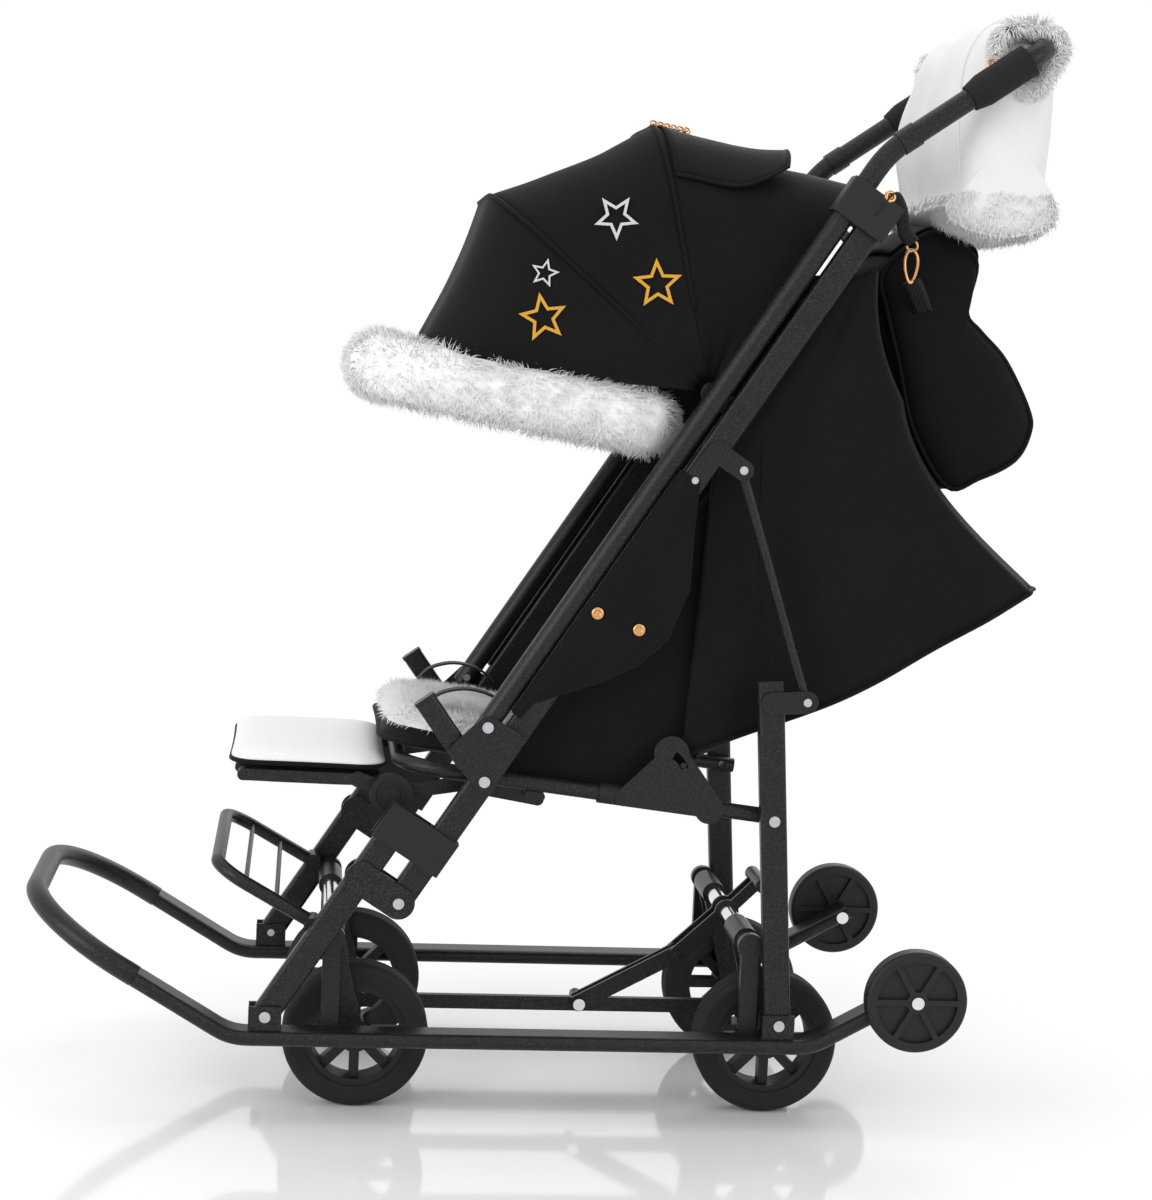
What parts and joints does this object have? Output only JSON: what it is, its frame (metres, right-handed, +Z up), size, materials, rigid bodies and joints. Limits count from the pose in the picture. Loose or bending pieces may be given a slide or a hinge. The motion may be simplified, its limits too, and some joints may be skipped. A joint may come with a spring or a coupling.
{
  "type": "sled stroller",
  "caption": "Folding sled stroller on upturned runners with swing-up road wheels, reclining seat, calf rest, folding hood, rear cape, bag and a reversible push handle.",
  "frame": {"origin": "on the floor, under the middle of the object's box", "axes": "+Z up, the child faces -X, the stroller's left side is -Y"},
  "size_m": [1.0396, 0.45, 1.1398],
  "materials": {
    "powder_coat": "black speckled powder coat",
    "chrome": "polished chrome",
    "zinc": "zinc plated",
    "plastic": "matte black",
    "tyre": "matte rubber",
    "foam": "matte foam",
    "cloth": "coated black cloth",
    "leatherette": "white leatherette",
    "fur": "white pile",
    "muff_cloth": "white soft cloth"
  },
  "bodies": {
    "base": {"runners": "powder_coat", "tow_loop": "powder_coat", "leg_lugs": "powder_coat", "lug_bolts": "zinc", "lift_posts": "powder_coat", "cross_tubes": "chrome", "carry_axles": "chrome"},
    "front_carriage": {"front_swing_arms": "powder_coat", "front_axle": "zinc"},
    "rear_carriage": {"rear_swing_arms": "powder_coat", "rear_axle": "zinc"},
    "tie": {"tie_bar": "powder_coat", "knee_pin": "chrome", "lift_spring": "zinc"},
    "pedal": {"pedal_link": "powder_coat"},
    "knee": {"lower_link": "powder_coat"},
    "front_left_wheel": {"front_left_tyre": "tyre", "front_left_rim": "plastic"},
    "front_right_wheel": {"front_right_tyre": "tyre", "front_right_rim": "plastic"},
    "rear_left_wheel": {"rear_left_tyre": "tyre", "rear_left_rim": "plastic"},
    "rear_right_wheel": {"rear_right_tyre": "tyre", "rear_right_rim": "plastic"},
    "carry_left": {"carry_wheel_left": "plastic"},
    "carry_right": {"carry_wheel_right": "plastic"},
    "leg_pair": {"front_legs": "powder_coat", "foot_step": "powder_coat", "main_pivot_bolts": "zinc"},
    "main_frame": {"main_tubes": "powder_coat", "seat_brackets": "powder_coat", "handle_stops": "powder_coat", "strut_lugs": "powder_coat", "frame_bolts": "zinc", "hood_mounts": "powder_coat", "hood_rear": "cloth", "side_wings": "cloth", "rear_cape": "cloth", "rear_bag": "cloth"},
    "strut_pair": {"struts": "powder_coat"},
    "seat": {"seat_frame": "powder_coat", "recline_plates": "powder_coat", "seat_cushion": "fur", "calf_brackets": "powder_coat"},
    "back": {"backrest": "cloth", "recline_pins": "powder_coat"},
    "calf": {"calf_frame": "powder_coat", "calf_pad": "leatherette", "calf_knobs": "plastic"},
    "rear_pair": {"rear_legs": "powder_coat", "strut_brackets": "powder_coat", "rear_bolts": "zinc"},
    "lower_lock_pair": {"lower_locks": "plastic"},
    "upper_lock_pair": {"upper_locks": "plastic"},
    "handle": {"handle_tube": "powder_coat", "handle_grips": "foam", "hand_muff": "muff_cloth"},
    "hood_2": {"hood_mid": "cloth"},
    "hood_1": {"hood_front": "cloth", "hood_fur": "fur"}
  },
  "joints": [
    {"name": "lift", "type": "hinge", "parent": "base", "child": "front_carriage", "pos_m": [-0.20646, 0, 0.18513], "axis": [0, -1, 0], "range_deg": [0, 66]},
    {"name": "lift_rear", "type": "hinge", "parent": "base", "child": "rear_carriage", "pos_m": [0.22054, 0, 0.18513], "axis": [0, -1, 0], "range_deg": [0, 66.1]},
    {"name": "lift_tie", "type": "hinge", "parent": "front_carriage", "child": "tie", "pos_m": [-0.179, 0, 0.075], "axis": [0, -1, 0], "range_deg": [-66.1, 0]},
    {"name": "lift_pedal", "type": "hinge", "parent": "base", "child": "pedal", "pos_m": [0.22054, 0, 0.18513], "axis": [0, -1, 0], "range_deg": [0, 78.01]},
    {"name": "lift_knee", "type": "hinge", "parent": "tie", "child": "knee", "pos_m": [0.064, 0, 0.08], "axis": [0, -1, 0], "range_deg": [-51.67, 0]},
    {"name": "front_left_spin", "type": "hinge", "parent": "front_carriage", "child": "front_left_wheel", "pos_m": [-0.179, -0.118, 0.075], "axis": [0, 1, 0], "continuous": true},
    {"name": "front_right_spin", "type": "hinge", "parent": "front_carriage", "child": "front_right_wheel", "pos_m": [-0.179, 0.118, 0.075], "axis": [0, 1, 0], "continuous": true},
    {"name": "rear_left_spin", "type": "hinge", "parent": "rear_carriage", "child": "rear_left_wheel", "pos_m": [0.248, -0.118, 0.075], "axis": [0, 1, 0], "continuous": true},
    {"name": "rear_right_spin", "type": "hinge", "parent": "rear_carriage", "child": "rear_right_wheel", "pos_m": [0.248, 0.118, 0.075], "axis": [0, 1, 0], "continuous": true},
    {"name": "carry_left_spin", "type": "hinge", "parent": "base", "child": "carry_left", "pos_m": [0.38499, -0.2114, 0.14275], "axis": [0, 1, 0], "continuous": true},
    {"name": "carry_right_spin", "type": "hinge", "parent": "base", "child": "carry_right", "pos_m": [0.38499, 0.2114, 0.14275], "axis": [0, 1, 0], "continuous": true},
    {"name": "fold", "type": "hinge", "parent": "base", "child": "leg_pair", "pos_m": [-0.271, 0, 0.1085], "axis": [0, -1, 0], "range_deg": [0, 80], "deforming": ["rear_cape", "side_wings", "rear_bag"]},
    {"name": "fold_main", "type": "hinge", "parent": "leg_pair", "child": "main_frame", "pos_m": [-0.14204, 0, 0.22663], "axis": [0, -1, 0], "range_deg": [-120.5, 0]},
    {"name": "fold_seat", "type": "hinge", "parent": "main_frame", "child": "seat", "pos_m": [-0.06149, 0, 0.35258], "axis": [0, -1, 0], "range_deg": [0, 25.42]},
    {"name": "fold_strut", "type": "hinge", "parent": "main_frame", "child": "strut_pair", "pos_m": [0.18416, 0, 0.67266], "axis": [0, -1, 0], "range_deg": [-40.09, 0]},
    {"name": "fold_rear", "type": "hinge", "parent": "base", "child": "rear_pair", "pos_m": [0.2495, 0, 0.1085], "axis": [0, -1, 0], "range_deg": [0, 63.19]},
    {"name": "recline", "type": "hinge", "parent": "seat", "child": "back", "pos_m": [0.11941, 0, 0.3592], "axis": [0, -1, 0], "range_deg": [0, 25]},
    {"name": "calf_tilt", "type": "hinge", "parent": "seat", "child": "calf", "pos_m": [-0.15149, 0, 0.32758], "axis": [0, -1, 0], "range_deg": [0, 30]},
    {"name": "handle_turn", "type": "hinge", "parent": "main_frame", "child": "handle", "pos_m": [-0.06018, 0, 0.40753], "axis": [0, -1, 0], "range_deg": [0, 68]},
    {"name": "lower_lock", "type": "slide", "parent": "main_frame", "child": "lower_lock_pair", "axis": [0.5388, 0, 0.8425], "range_m": [0, 0.045]},
    {"name": "upper_lock", "type": "slide", "parent": "handle", "child": "upper_lock_pair", "axis": [0.5388, 0, 0.8425], "range_m": [0, 0.016]},
    {"name": "hood_fold", "type": "hinge", "parent": "main_frame", "child": "hood_2", "pos_m": [0.15096, 0, 0.74789], "axis": [0, 1, 0], "range_deg": [0, 30]},
    {"name": "hood_fold_front", "type": "hinge", "parent": "hood_2", "child": "hood_1", "pos_m": [0.15096, 0, 0.74789], "axis": [0, 1, 0], "range_deg": [0, 22.1]}
  ],
  "couplings": [
    {"joint": "lift_rear", "follows": "lift", "ratio": 1},
    {"joint": "lift_tie", "follows": "lift", "ratio": -1},
    {"joint": "lift_pedal", "follows": "lift", "ratio": 1.1804},
    {"joint": "lift_knee", "follows": "lift", "ratio": -0.78142},
    {"joint": "fold_main", "follows": "fold", "ratio": -1.505},
    {"joint": "fold_seat", "follows": "fold", "ratio": 0.31653},
    {"joint": "fold_strut", "follows": "fold", "ratio": -0.49986},
    {"joint": "fold_rear", "follows": "fold", "ratio": 0.78862},
    {"joint": "hood_fold_front", "follows": "hood_fold", "ratio": 0.73333}
  ]
}
